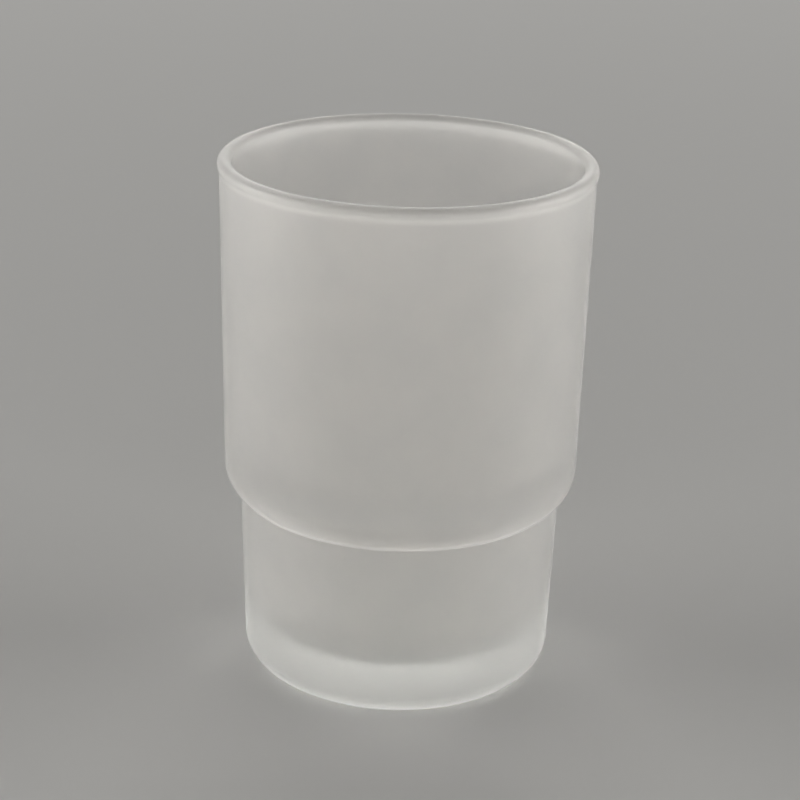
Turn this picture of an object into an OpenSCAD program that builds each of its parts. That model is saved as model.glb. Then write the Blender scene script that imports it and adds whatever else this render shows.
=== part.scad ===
// Bathroom tumbler of frosted glass, stepped to hang in a holder's ring.
// It is one piece of glass, turned about +Z. The origin is on the table, at the middle of the base.

/* [Overall] */
// Height from the table to the top of the rim
glass_h = 94.6; // [85:0.1:110]
// Outside diameter over the bead of the rim
rim_d = 66; // [62:0.1:72]

/* [Rim] */
// Thickness of the glass across the round lip
lip_t = 2.54; // [2:0.02:3.2]
// How far the lip stands out beyond the wall below it
bead_out = 0.36; // [0.1:0.02:0.8]
// Radius of the hollow that leads from the bead into the wall
bead_hollow_r = 6; // [2:0.5:12]

/* [Upper barrel] */
// Taper of the outside of the upper barrel, in degrees a side
upper_taper = 0.78; // [0:0.02:1.5]
// Height of the centre of the shoulder's round
shoulder_z = 38.4; // [34:0.1:46]
// Radius of the shoulder's round
shoulder_r = 6.2; // [5:0.1:8]

/* [Lower barrel] */
// How far the lower barrel stands in from the upper barrel, level with the centre of the shoulder's round
step_in = 2.74; // [2:0.02:4]
// Taper of the outside of the lower barrel, in degrees a side
lower_taper = 1.6; // [0:0.05:2.5]
// Radius of the small hollow that leads from the lower barrel into the shoulder
crease_r = 0.6; // [0.2:0.1:1.5]
// Radius of the heel that turns under the base
heel_r = 4.4; // [2:0.1:6]

/* [Base] */
// Thickness of the glass from the table to the floor inside
base_t = 8; // [6:0.1:14]
// Radius of the corner between the floor and the lower bore
floor_r = 7; // [2:0.1:8]
// Width of the flat ring that the glass stands on
ring_w = 3.3; // [1:0.1:6]
// Depth of the hollow in the underside, inside that ring
punt_h = 1; // [0.5:0.1:2]

/* [Bore] */
// Taper of the upper bore, in degrees a side
upper_bore_taper = 1.1; // [0.3:0.05:2]
// Thickness of the lower barrel's wall level with the shoulder
lower_wall_t = 3.1; // [2:0.1:4]
// Taper of the lower bore, in degrees a side
lower_bore_taper = 2; // [0.3:0.05:3]
// Height of the start of the inner step above the centre of the shoulder's round
bore_step_rise = 6; // [3:0.1:9]
// Radius of the round at the top of the inner step
bore_round_r = 8; // [5:0.1:12]
// Radius of the nose at the foot of the inner step
bore_nose_r = 6; // [3:0.1:9]

/* [Hidden] */
$fn = 180;
// How far a cut runs past the glass
overrun = 2;
// How far each round overlaps the walls it runs into, so that they join as one outline
join = 0.0005;
// A glass tint between clear and white
frost_rgba = [0.80, 0.81, 0.79, 0.92];

// A point at distance d from p, in the direction of an angle from the radius
function polar(p, d, angle) = p + d * [cos(angle), sin(angle)];

// Lip
lip_r = lip_t / 2;
lip_c = [rim_d / 2 - lip_r, glass_h - lip_r];
wall_top_r = rim_d / 2 - bead_out;
// Outside radius of the upper barrel at a height
function upper_r(z) = wall_top_r - (lip_c.y - z) * tan(upper_taper);

// Hollow under the bead: a circle outside the wall that touches the lip and the wall
hollow_across = bead_hollow_r + (lip_r - bead_out) * cos(upper_taper);
hollow_down = sqrt(pow(lip_r + bead_hollow_r, 2) - pow(hollow_across, 2));
hollow_c = polar(polar(lip_c, hollow_across, -upper_taper), -hollow_down, 90 - upper_taper);
hollow_end = polar(hollow_c, -bead_hollow_r, -upper_taper);

// Shoulder
shoulder_c = [upper_r(shoulder_z) - shoulder_r / cos(upper_taper), shoulder_z];
shoulder_top = polar(shoulder_c, shoulder_r, -upper_taper);

// Lower barrel and heel
// Outside radius of the lower barrel at a height
function lower_r(z) = upper_r(shoulder_z) - step_in - (shoulder_z - z) * tan(lower_taper);
heel_c = [lower_r(heel_r) - heel_r / cos(lower_taper), heel_r];
heel_top = polar(heel_c, heel_r, -lower_taper);

// Hollow under the shoulder: a circle outside the wall that touches the shoulder and the lower barrel
crease_across = crease_r + (lower_r(shoulder_z) - shoulder_c.x) * cos(lower_taper);
crease_down = sqrt(pow(shoulder_r + crease_r, 2) - pow(crease_across, 2));
crease_c = polar(polar(shoulder_c, crease_across, -lower_taper), -crease_down, 90 - lower_taper);
crease_end = polar(crease_c, -crease_r, -lower_taper);

// Underside: the hollow ends at the ring, and is part of a sphere
punt_edge_r = heel_c.x - ring_w;
punt_r = (pow(punt_edge_r, 2) + pow(punt_h, 2)) / (2 * punt_h);

// Upper bore, which touches the inside of the lip
bore_top = polar(lip_c, lip_r, 180 - upper_bore_taper);
// Radius of the upper bore at a height
function upper_bore_r(z) = bore_top.x - (bore_top.y - z) * tan(upper_bore_taper);
round_z = shoulder_z + bore_step_rise;
round_c = [upper_bore_r(round_z) - bore_round_r / cos(upper_bore_taper), round_z];
round_top = polar(round_c, bore_round_r, -upper_bore_taper);

// Radius of the lower bore at a height
function lower_bore_r(z) = lower_r(shoulder_z) - lower_wall_t - (shoulder_z - z) * tan(lower_bore_taper);
// Nose: a circle in the glass that touches the round above it and the lower bore
nose_across = bore_nose_r - (round_c.x - lower_bore_r(round_z)) * cos(lower_bore_taper);
nose_down = sqrt(pow(bore_round_r + bore_nose_r, 2) - pow(nose_across, 2));
nose_c = polar(polar(round_c, nose_across, -lower_bore_taper), -nose_down, 90 - lower_bore_taper);
nose_end = polar(nose_c, -bore_nose_r, -lower_bore_taper);
step_mid = polar(round_c, bore_round_r, atan2(nose_c.y - round_c.y, nose_c.x - round_c.x));

// Floor corner
floor_c = [lower_bore_r(base_t + floor_r) - floor_r / cos(lower_bore_taper), base_t + floor_r];
floor_top = polar(floor_c, floor_r, -lower_bore_taper);

// A round of an outline, drawn as a full circle that overlaps the walls by a hair
module round_at(c, r) {
    translate(c)
        circle(r = r + join);
}

// Half section of the glass as if it had no bore and no lip
module outer_section() {
    difference() {
        union() {
            polygon([
                [0, shoulder_z],
                shoulder_c,
                shoulder_top,
                hollow_end,
                hollow_c,
                lip_c,
                [lip_c.x, bore_top.y],
                [0, bore_top.y],
            ]);
            polygon([
                [0, 0],
                [heel_c.x, 0],
                heel_top,
                crease_end,
                crease_c,
                shoulder_c,
                [0, shoulder_z],
            ]);
            round_at(shoulder_c, shoulder_r);
            round_at(heel_c, heel_r);
        }
        round_at(hollow_c, bead_hollow_r);
        round_at(crease_c, crease_r);
        round_at([0, punt_h - punt_r], punt_r, $fn = 1440);
    }
}

// Half section of the space inside
module bore_section() {
    difference() {
        polygon([
            [0, base_t],
            [floor_c.x, base_t],
            floor_top,
            nose_end,
            nose_c,
            step_mid,
            round_top,
            bore_top,
            [bore_top.x, glass_h + overrun],
            [0, glass_h + overrun],
        ]);
        round_at(nose_c, bore_nose_r);
    }
    round_at(round_c, bore_round_r);
    round_at(floor_c, floor_r);
}

module tumbler() {
    color(frost_rgba)
        rotate_extrude() {
            difference() {
                outer_section();
                bore_section();
            }
            round_at(lip_c, lip_r);
        }
}

tumbler();
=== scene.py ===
import math

import bmesh
import bpy
from mathutils import Matrix, Vector


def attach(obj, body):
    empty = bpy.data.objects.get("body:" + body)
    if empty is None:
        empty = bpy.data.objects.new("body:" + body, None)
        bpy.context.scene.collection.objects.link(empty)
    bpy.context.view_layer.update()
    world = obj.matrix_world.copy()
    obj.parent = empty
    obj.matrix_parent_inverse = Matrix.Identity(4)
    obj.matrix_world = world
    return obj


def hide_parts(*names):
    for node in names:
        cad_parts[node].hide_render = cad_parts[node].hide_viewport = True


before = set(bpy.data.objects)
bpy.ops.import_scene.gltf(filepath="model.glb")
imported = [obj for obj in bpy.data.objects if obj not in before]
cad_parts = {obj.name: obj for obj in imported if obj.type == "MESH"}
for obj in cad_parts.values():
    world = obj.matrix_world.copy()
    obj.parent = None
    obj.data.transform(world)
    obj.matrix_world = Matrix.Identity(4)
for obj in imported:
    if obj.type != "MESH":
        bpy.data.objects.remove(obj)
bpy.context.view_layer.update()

scene = bpy.context.scene

# Camera
# It stands where the photograph was taken from: in front of the tumbler, above the rim,
# looking down into it, with the small lean of a camera held by hand.
camera_back = 0.34761
camera_up = 0.18509
camera_looks_down = math.radians(21.3106)
camera_turn = math.radians(0.0585)
camera_lean = math.radians(1.5264)
photo_side_px = 800
focal_px = 2066.88
camera_data = bpy.data.cameras.new("camera")
camera_data.lens = focal_px * camera_data.sensor_width / photo_side_px
camera = bpy.data.objects.new("camera", camera_data)
scene.collection.objects.link(camera)
camera.matrix_world = (
    Matrix.Translation((0, -camera_back, camera_up))
    @ Matrix.Rotation(camera_turn, 4, "Z")
    @ Matrix.Rotation(math.pi / 2 - camera_looks_down, 4, "X")
    @ Matrix.Rotation(camera_lean, 4, "Z")
)
scene.camera = camera
scene.view_settings.view_transform = "Standard"

# Table
# A plain pale table top that runs on out of the camera's sight. It isn't part of the tumbler.
# It is matt, with a very faint unevenness, as painted board has.
table_reach = 1.3
table_gap = 0.00005
table_colour = (0.64, 0.64, 0.635)
table_shine = 0.15
table_mottle_per_m, table_mottle_detail = 40.0, 3.0
table_roughness = (0.80, 0.92)


def add_node(tree, kind, **values):
    """Adds a shader node; values set its own properties or, where it has none of that name, its sockets."""
    made = tree.nodes.new(kind)
    for name, value in values.items():
        if hasattr(made, name):
            setattr(made, name, value)
        else:
            made.inputs[name.replace("_", " ")].default_value = value
    return made


def add_piece(name, mesh_maker):
    """Makes a mesh object of a bmesh, in place, at the origin."""
    mesh = bpy.data.meshes.new(name)
    mesh_maker.to_mesh(mesh)
    mesh_maker.free()
    piece = bpy.data.objects.new(name, mesh)
    scene.collection.objects.link(piece)
    return piece


table_top = bmesh.new()
bmesh.ops.create_grid(table_top, x_segments=1, y_segments=1, size=table_reach)
bmesh.ops.translate(table_top, vec=(0, 0, -table_gap), verts=table_top.verts)
table = add_piece("table", table_top)
table_paint = bpy.data.materials.new("table_paint")
table_paint.use_nodes = True
tree = table_paint.node_tree
shader = tree.nodes["Principled BSDF"]
shader.inputs["Base Color"].default_value = (*table_colour, 1)
shader.inputs["Specular IOR Level"].default_value = table_shine
place = add_node(tree, "ShaderNodeTexCoord")
mottle = add_node(tree, "ShaderNodeTexNoise", Scale=table_mottle_per_m, Detail=table_mottle_detail)
spread = add_node(tree, "ShaderNodeMapRange", To_Min=table_roughness[0], To_Max=table_roughness[1])
tree.links.new(place.outputs["Object"], mottle.inputs["Vector"])
tree.links.new(mottle.outputs["Fac"], spread.inputs["Value"])
tree.links.new(spread.outputs["Result"], shader.inputs["Roughness"])
table.data.materials.append(table_paint)

# Lamps
# Plain soft studio light from outside the table's edge: a long low strip in front, a low box at each side
# and a weaker, higher box behind. The room is a pale backdrop that fades to dark overhead.
# The lamps themselves stay out of the camera's sight.
lamp_aim = Vector((0, 0, 0.05))
lamp_colour = (1.0, 0.985, 0.955)
room_colour = (1.0, 0.99, 0.97)
room_strength = 0.9
room_pale_up_to, room_dark_from = 0.10, 0.40
# Each lamp has its width and height, where it stands, and its watts
box_lamps = {
    "front": ((3.2, 0.25), (0.0, -1.4, 0.135), 25.5),
    "back": ((1.2, 1.0), (0.0, 1.5, 0.9), 7.0),
    "left": ((1.6, 0.45), (-1.6, 0.0, 0.28), 23.0),
    "right": ((1.6, 0.45), (1.6, 0.0, 0.28), 21.0),
}
for name, (size, stand, watts) in box_lamps.items():
    lamp_data = bpy.data.lights.new(name, "AREA")
    lamp_data.shape = "RECTANGLE"
    lamp_data.size, lamp_data.size_y = size
    lamp_data.energy = watts
    lamp_data.color = lamp_colour
    lamp = bpy.data.objects.new(name, lamp_data)
    lamp.location = stand
    lamp.rotation_euler = (lamp_aim - Vector(stand)).to_track_quat("-Z", "Y").to_euler()
    lamp.visible_camera = False
    scene.collection.objects.link(lamp)
scene.world = bpy.data.worlds.new("room")
scene.world.use_nodes = True
tree = scene.world.node_tree
room = tree.nodes["Background"]
room.inputs["Color"].default_value = (*room_colour, 1)
direction = add_node(tree, "ShaderNodeTexCoord")
height = add_node(tree, "ShaderNodeSeparateXYZ")
fade = add_node(
    tree, "ShaderNodeMapRange", interpolation_type="SMOOTHSTEP",
    From_Min=room_pale_up_to, From_Max=room_dark_from, To_Min=room_strength, To_Max=0.0,
)
tree.links.new(direction.outputs["Generated"], height.inputs["Vector"])
tree.links.new(height.outputs["Z"], fade.inputs["Value"])
tree.links.new(fade.outputs["Result"], room.inputs["Strength"])

# Tumbler
# One piece of pressed glass, frosted inside and out: a tapered upper barrel with a round beaded lip,
# a rounded shoulder that steps in to the narrower lower barrel, and a thick base.
# Nothing is fixed to it: the shoulder hangs in a holder's ring, or the base stands on a shelf.

# Sizes in millimetres and degrees, as in the part's source.
# The crease is the small hollow under the shoulder, and the punt is the hollow in the underside.
glass_h, rim_d = 94.6, 66.0
lip_t, bead_out, bead_hollow_r = 2.54, 0.36, 6.0
upper_taper, shoulder_z, shoulder_r = 0.78, 38.4, 6.2
crease_r = 0.6
step_in, lower_taper, heel_r = 2.74, 1.6, 4.4
base_t, floor_r = 8.0, 7.0
ring_w, punt_h = 3.3, 1.0
upper_bore_taper, lower_bore_taper = 1.1, 2.0
lower_wall_t = 3.1
bore_step_rise, bore_round_r, bore_nose_r = 6.0, 8.0, 6.0
mm = 0.001

# How finely it is drawn: steps along each curve and round the tumbler, and cuts along each straight wall
lip_steps, wide_steps, bore_steps, small_steps = 28, 12, 10, 8
upper_cuts, lower_cuts, lower_bore_cuts, floor_cuts, ring_cuts = 24, 12, 10, 4, 2
steps_around = 192
weld_gap = 0.0005


def polar(start, distance, degrees):
    """The point at a distance from start, in a direction in degrees from the radius."""
    turn = math.radians(degrees)
    return (start[0] + distance * math.cos(turn), start[1] + distance * math.sin(turn))


def slope(degrees):
    """How far a wall of this taper moves sideways for each unit of height."""
    return math.tan(math.radians(degrees))


def bearing(start, end):
    """The direction from start to end, in degrees from the radius."""
    return math.degrees(math.atan2(end[1] - start[1], end[0] - start[0]))


def touching(centre, radius, own_radius, wall_gap, wall_angle):
    """The centre of a round of own_radius that touches a circle from outside and a wall.
    wall_gap is how far, square to the wall, it lies from the circle's centre."""
    down = math.sqrt((radius + own_radius) ** 2 - wall_gap**2)
    return polar(polar(centre, wall_gap, -wall_angle), -down, 90 - wall_angle)


def draw_line(outline, tip, end, cuts):
    """Draws the half section on from its tip along a straight line."""
    start = tip.co.copy()
    goal = Vector((end[0], 0, end[1]))
    for step in range(1, cuts + 2):
        tip = bmesh.ops.extrude_vert_indiv(outline, verts=[tip])["verts"][0]
        tip.co = start.lerp(goal, step / (cuts + 1))
    return tip


def draw_round(outline, tip, centre, to_degrees, steps):
    """Draws the half section on from its tip round a centre, to the point in that direction from it."""
    from_degrees = bearing(centre, (tip.co.x, tip.co.z))
    made = bmesh.ops.spin(
        outline, geom=[tip], cent=(centre[0], 0, centre[1]), axis=(0, 1, 0),
        dvec=(0, 0, 0), angle=math.radians(from_degrees - to_degrees), steps=steps,
        use_merge=False, use_duplicate=False,
    )
    return [part for part in made["geom_last"] if isinstance(part, bmesh.types.BMVert)][0]


# Centres of the rounds of the outside
lip_r = lip_t / 2
lip_c = (rim_d / 2 - lip_r, glass_h - lip_r)


def upper_r(z):
    """The outside radius of the upper barrel at a height."""
    return rim_d / 2 - bead_out - (lip_c[1] - z) * slope(upper_taper)


def lower_r(z):
    """The outside radius of the lower barrel at a height."""
    return upper_r(shoulder_z) - step_in - (shoulder_z - z) * slope(lower_taper)


cos_upper = math.cos(math.radians(upper_taper))
cos_lower = math.cos(math.radians(lower_taper))
bead_gap = bead_hollow_r + (lip_r - bead_out) * cos_upper
bead_hollow_c = touching(lip_c, lip_r, bead_hollow_r, bead_gap, upper_taper)
shoulder_c = (upper_r(shoulder_z) - shoulder_r / cos_upper, shoulder_z)
crease_gap = crease_r + (lower_r(shoulder_z) - shoulder_c[0]) * cos_lower
crease_c = touching(shoulder_c, shoulder_r, crease_r, crease_gap, lower_taper)
heel_c = (lower_r(heel_r) - heel_r / cos_lower, heel_r)
punt_edge_r = heel_c[0] - ring_w
punt_r = (punt_edge_r**2 + punt_h**2) / (2 * punt_h)
punt_edge = 90 - math.degrees(math.asin(punt_edge_r / punt_r))

# Centres of the rounds of the bore
bore_top = polar(lip_c, lip_r, 180 - upper_bore_taper)


def upper_bore_r(z):
    """The radius of the upper bore at a height."""
    return bore_top[0] - (bore_top[1] - z) * slope(upper_bore_taper)


def lower_bore_r(z):
    """The radius of the lower bore at a height."""
    return lower_r(shoulder_z) - lower_wall_t - (shoulder_z - z) * slope(lower_bore_taper)


cos_upper_bore = math.cos(math.radians(upper_bore_taper))
cos_lower_bore = math.cos(math.radians(lower_bore_taper))
round_z = shoulder_z + bore_step_rise
bore_round_c = (upper_bore_r(round_z) - bore_round_r / cos_upper_bore, round_z)
nose_gap = bore_nose_r - (bore_round_c[0] - lower_bore_r(round_z)) * cos_lower_bore
bore_nose_c = touching(bore_round_c, bore_round_r, bore_nose_r, nose_gap, lower_bore_taper)
floor_z = base_t + floor_r
floor_c = (lower_bore_r(floor_z) - floor_r / cos_lower_bore, floor_z)

# Half section, from the middle of the underside out, up the outside, over the lip and down the bore
section = bmesh.new()
tip = section.verts.new((0, 0, punt_h))
tip = draw_round(section, tip, (0, punt_h - punt_r), punt_edge, wide_steps)
tip = draw_line(section, tip, (heel_c[0], 0), ring_cuts)
tip = draw_round(section, tip, heel_c, -lower_taper, wide_steps)
tip = draw_line(section, tip, polar(crease_c, -crease_r, -lower_taper), lower_cuts)
tip = draw_round(section, tip, crease_c, bearing(crease_c, shoulder_c), small_steps)
tip = draw_round(section, tip, shoulder_c, -upper_taper, wide_steps)
tip = draw_line(section, tip, polar(bead_hollow_c, -bead_hollow_r, -upper_taper), upper_cuts)
tip = draw_round(section, tip, bead_hollow_c, bearing(bead_hollow_c, lip_c), small_steps)
tip = draw_round(section, tip, lip_c, 180 - upper_bore_taper, lip_steps)
tip = draw_line(section, tip, polar(bore_round_c, bore_round_r, -upper_bore_taper), upper_cuts)
tip = draw_round(section, tip, bore_round_c, bearing(bore_round_c, bore_nose_c), bore_steps)
tip = draw_round(section, tip, bore_nose_c, 180 - lower_bore_taper, bore_steps)
tip = draw_line(section, tip, polar(floor_c, floor_r, -lower_bore_taper), lower_bore_cuts)
tip = draw_round(section, tip, floor_c, -90, wide_steps)
tip = draw_line(section, tip, (0, base_t), floor_cuts)

# The half section turned once about the middle
bmesh.ops.spin(
    section, geom=section.verts[:] + section.edges[:], cent=(0, 0, 0), axis=(0, 0, 1),
    dvec=(0, 0, 0), angle=2 * math.pi, steps=steps_around, use_merge=True, use_duplicate=False,
)
bmesh.ops.remove_doubles(section, verts=section.verts, dist=weld_gap)
bmesh.ops.recalc_face_normals(section, faces=section.faces)
bmesh.ops.scale(section, vec=(mm, mm, mm), verts=section.verts)
for face in section.faces:
    face.smooth = True
tumbler = add_piece("tumbler_glass", section)

# Frosted glass
# A soft noise clouds the glass over some millimetres, a finer one varies the etch, and a third is its grain.
# It is painted whiter towards the thick base, painted light for the light that gathers in the thick glass,
# and painted whiter in the hollow under the bead, a painted highlight for the light that the lip gathers
# there.
# The ring that it stands on is worn smoother by use.
glass_ior = 1.5
glass_see_through = 0.94
wall_tint = (0.83, 0.818, 0.798)
cloud_tint = (0.79, 0.783, 0.768)
# painted light: the colour the glass is painted towards the thick base, for the light gathered in the thick
# glass
base_light_tint = (0.995, 1.0, 0.982)
# painted highlight: the colour of the hollow under the bead, for the light that the lip gathers there
bead_highlight_tint = (0.92, 0.91, 0.89)
etch_roughness = (0.46, 0.54)
worn_share = 0.7
sheen_weight = 0.28
sheen_roughness = 0.5

# Noises: how many to a metre, their detail, and the part of their range that the clouds take
cloud_per_m, cloud_detail = 120.0, 3.0
mottle_per_m, grain_per_m, fine_detail = 700.0, 3600.0, 2.0
clear_below, cloudy_above = 0.35, 0.65
grain_depth, grain_strength = 0.00002, 0.3

# Where each mask starts and is full, as heights and as a distance from the middle, in metres
# heights where the painted base light starts and is full
base_light_z = (0.016, 0.007)
# heights between which the painted highlight under the bead lies
bead_highlight_above_z, bead_highlight_below_z = (0.0930, 0.0925), (0.0916, 0.0923)
outside_r = (0.0315, 0.0320)
worn_z = (0.0004, 0.0001)

frosted = bpy.data.materials.new("frosted_glass")
frosted.use_nodes = True
tree = frosted.node_tree
shader = tree.nodes["Principled BSDF"]
shader.inputs["IOR"].default_value = glass_ior
shader.inputs["Transmission Weight"].default_value = glass_see_through
shader.inputs["Sheen Weight"].default_value = sheen_weight
shader.inputs["Sheen Roughness"].default_value = sheen_roughness
place = add_node(tree, "ShaderNodeTexCoord")
axes = add_node(tree, "ShaderNodeSeparateXYZ")
tree.links.new(place.outputs["Object"], axes.inputs["Vector"])
cloud = add_node(tree, "ShaderNodeTexNoise", Scale=cloud_per_m, Detail=cloud_detail)
mottle = add_node(tree, "ShaderNodeTexNoise", Scale=mottle_per_m, Detail=fine_detail)
grain = add_node(tree, "ShaderNodeTexNoise", Scale=grain_per_m, Detail=fine_detail)
for noise in (cloud, mottle, grain):
    tree.links.new(place.outputs["Object"], noise.inputs["Vector"])

# Tint of the walls, clouded, and painted whiter towards the base: painted light for the light gathered in
# the thick glass
cloudiness = add_node(tree, "ShaderNodeMapRange", From_Min=clear_below, From_Max=cloudy_above)
walls = add_node(tree, "ShaderNodeMixRGB")
walls.inputs["Color1"].default_value = (*wall_tint, 1)
walls.inputs["Color2"].default_value = (*cloud_tint, 1)
tree.links.new(cloud.outputs["Fac"], cloudiness.inputs["Value"])
tree.links.new(cloudiness.outputs["Result"], walls.inputs["Fac"])
# mask of the painted base light, by height
thick = add_node(
    tree, "ShaderNodeMapRange", interpolation_type="SMOOTHSTEP",
    From_Min=base_light_z[0], From_Max=base_light_z[1],
)
tint = add_node(tree, "ShaderNodeMixRGB")
tint.inputs["Color2"].default_value = (*base_light_tint, 1)
tree.links.new(axes.outputs["Z"], thick.inputs["Value"])
tree.links.new(walls.outputs["Color"], tint.inputs["Color1"])
tree.links.new(thick.outputs["Result"], tint.inputs["Fac"])

# Painted highlight in the hollow under the bead, where the lip gathers light: the outside of the glass,
# between two heights
flat = add_node(tree, "ShaderNodeVectorMath", operation="MULTIPLY")
flat.inputs[1].default_value = (1, 1, 0)
across = add_node(tree, "ShaderNodeVectorMath", operation="LENGTH")
tree.links.new(place.outputs["Object"], flat.inputs[0])
tree.links.new(flat.outputs["Vector"], across.inputs[0])
hollow = add_node(tree, "ShaderNodeMapRange", From_Min=outside_r[0], From_Max=outside_r[1])
tree.links.new(across.outputs["Value"], hollow.inputs["Value"])
for limit_z in (bead_highlight_above_z, bead_highlight_below_z):
    limit = add_node(
        tree, "ShaderNodeMapRange", interpolation_type="SMOOTHSTEP",
        From_Min=limit_z[0], From_Max=limit_z[1],
    )
    within = add_node(tree, "ShaderNodeMath", operation="MULTIPLY")
    tree.links.new(axes.outputs["Z"], limit.inputs["Value"])
    tree.links.new(hollow.outputs[0], within.inputs[0])
    tree.links.new(limit.outputs["Result"], within.inputs[1])
    hollow = within
# mixes the painted highlight under the bead into the colour
frost = add_node(tree, "ShaderNodeMixRGB")
frost.inputs["Color2"].default_value = (*bead_highlight_tint, 1)
tree.links.new(tint.outputs["Color"], frost.inputs["Color1"])
tree.links.new(hollow.outputs[0], frost.inputs["Fac"])
tree.links.new(frost.outputs["Color"], shader.inputs["Base Color"])

# Roughness of the etch, and less of it where the ring is worn
etch = add_node(tree, "ShaderNodeMapRange", To_Min=etch_roughness[0], To_Max=etch_roughness[1])
worn = add_node(
    tree, "ShaderNodeMapRange", interpolation_type="SMOOTHSTEP",
    From_Min=worn_z[0], From_Max=worn_z[1], To_Min=1.0, To_Max=worn_share,
)
roughness = add_node(tree, "ShaderNodeMath", operation="MULTIPLY")
tree.links.new(mottle.outputs["Fac"], etch.inputs["Value"])
tree.links.new(axes.outputs["Z"], worn.inputs["Value"])
tree.links.new(etch.outputs["Result"], roughness.inputs[0])
tree.links.new(worn.outputs["Result"], roughness.inputs[1])
tree.links.new(roughness.outputs["Value"], shader.inputs["Roughness"])

# Grain
bump = add_node(tree, "ShaderNodeBump", Strength=grain_strength, Distance=grain_depth)
tree.links.new(grain.outputs["Fac"], bump.inputs["Height"])
tree.links.new(bump.outputs["Normal"], shader.inputs["Normal"])
tumbler.data.materials.append(frosted)

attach(tumbler, "root")
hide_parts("tumbler")
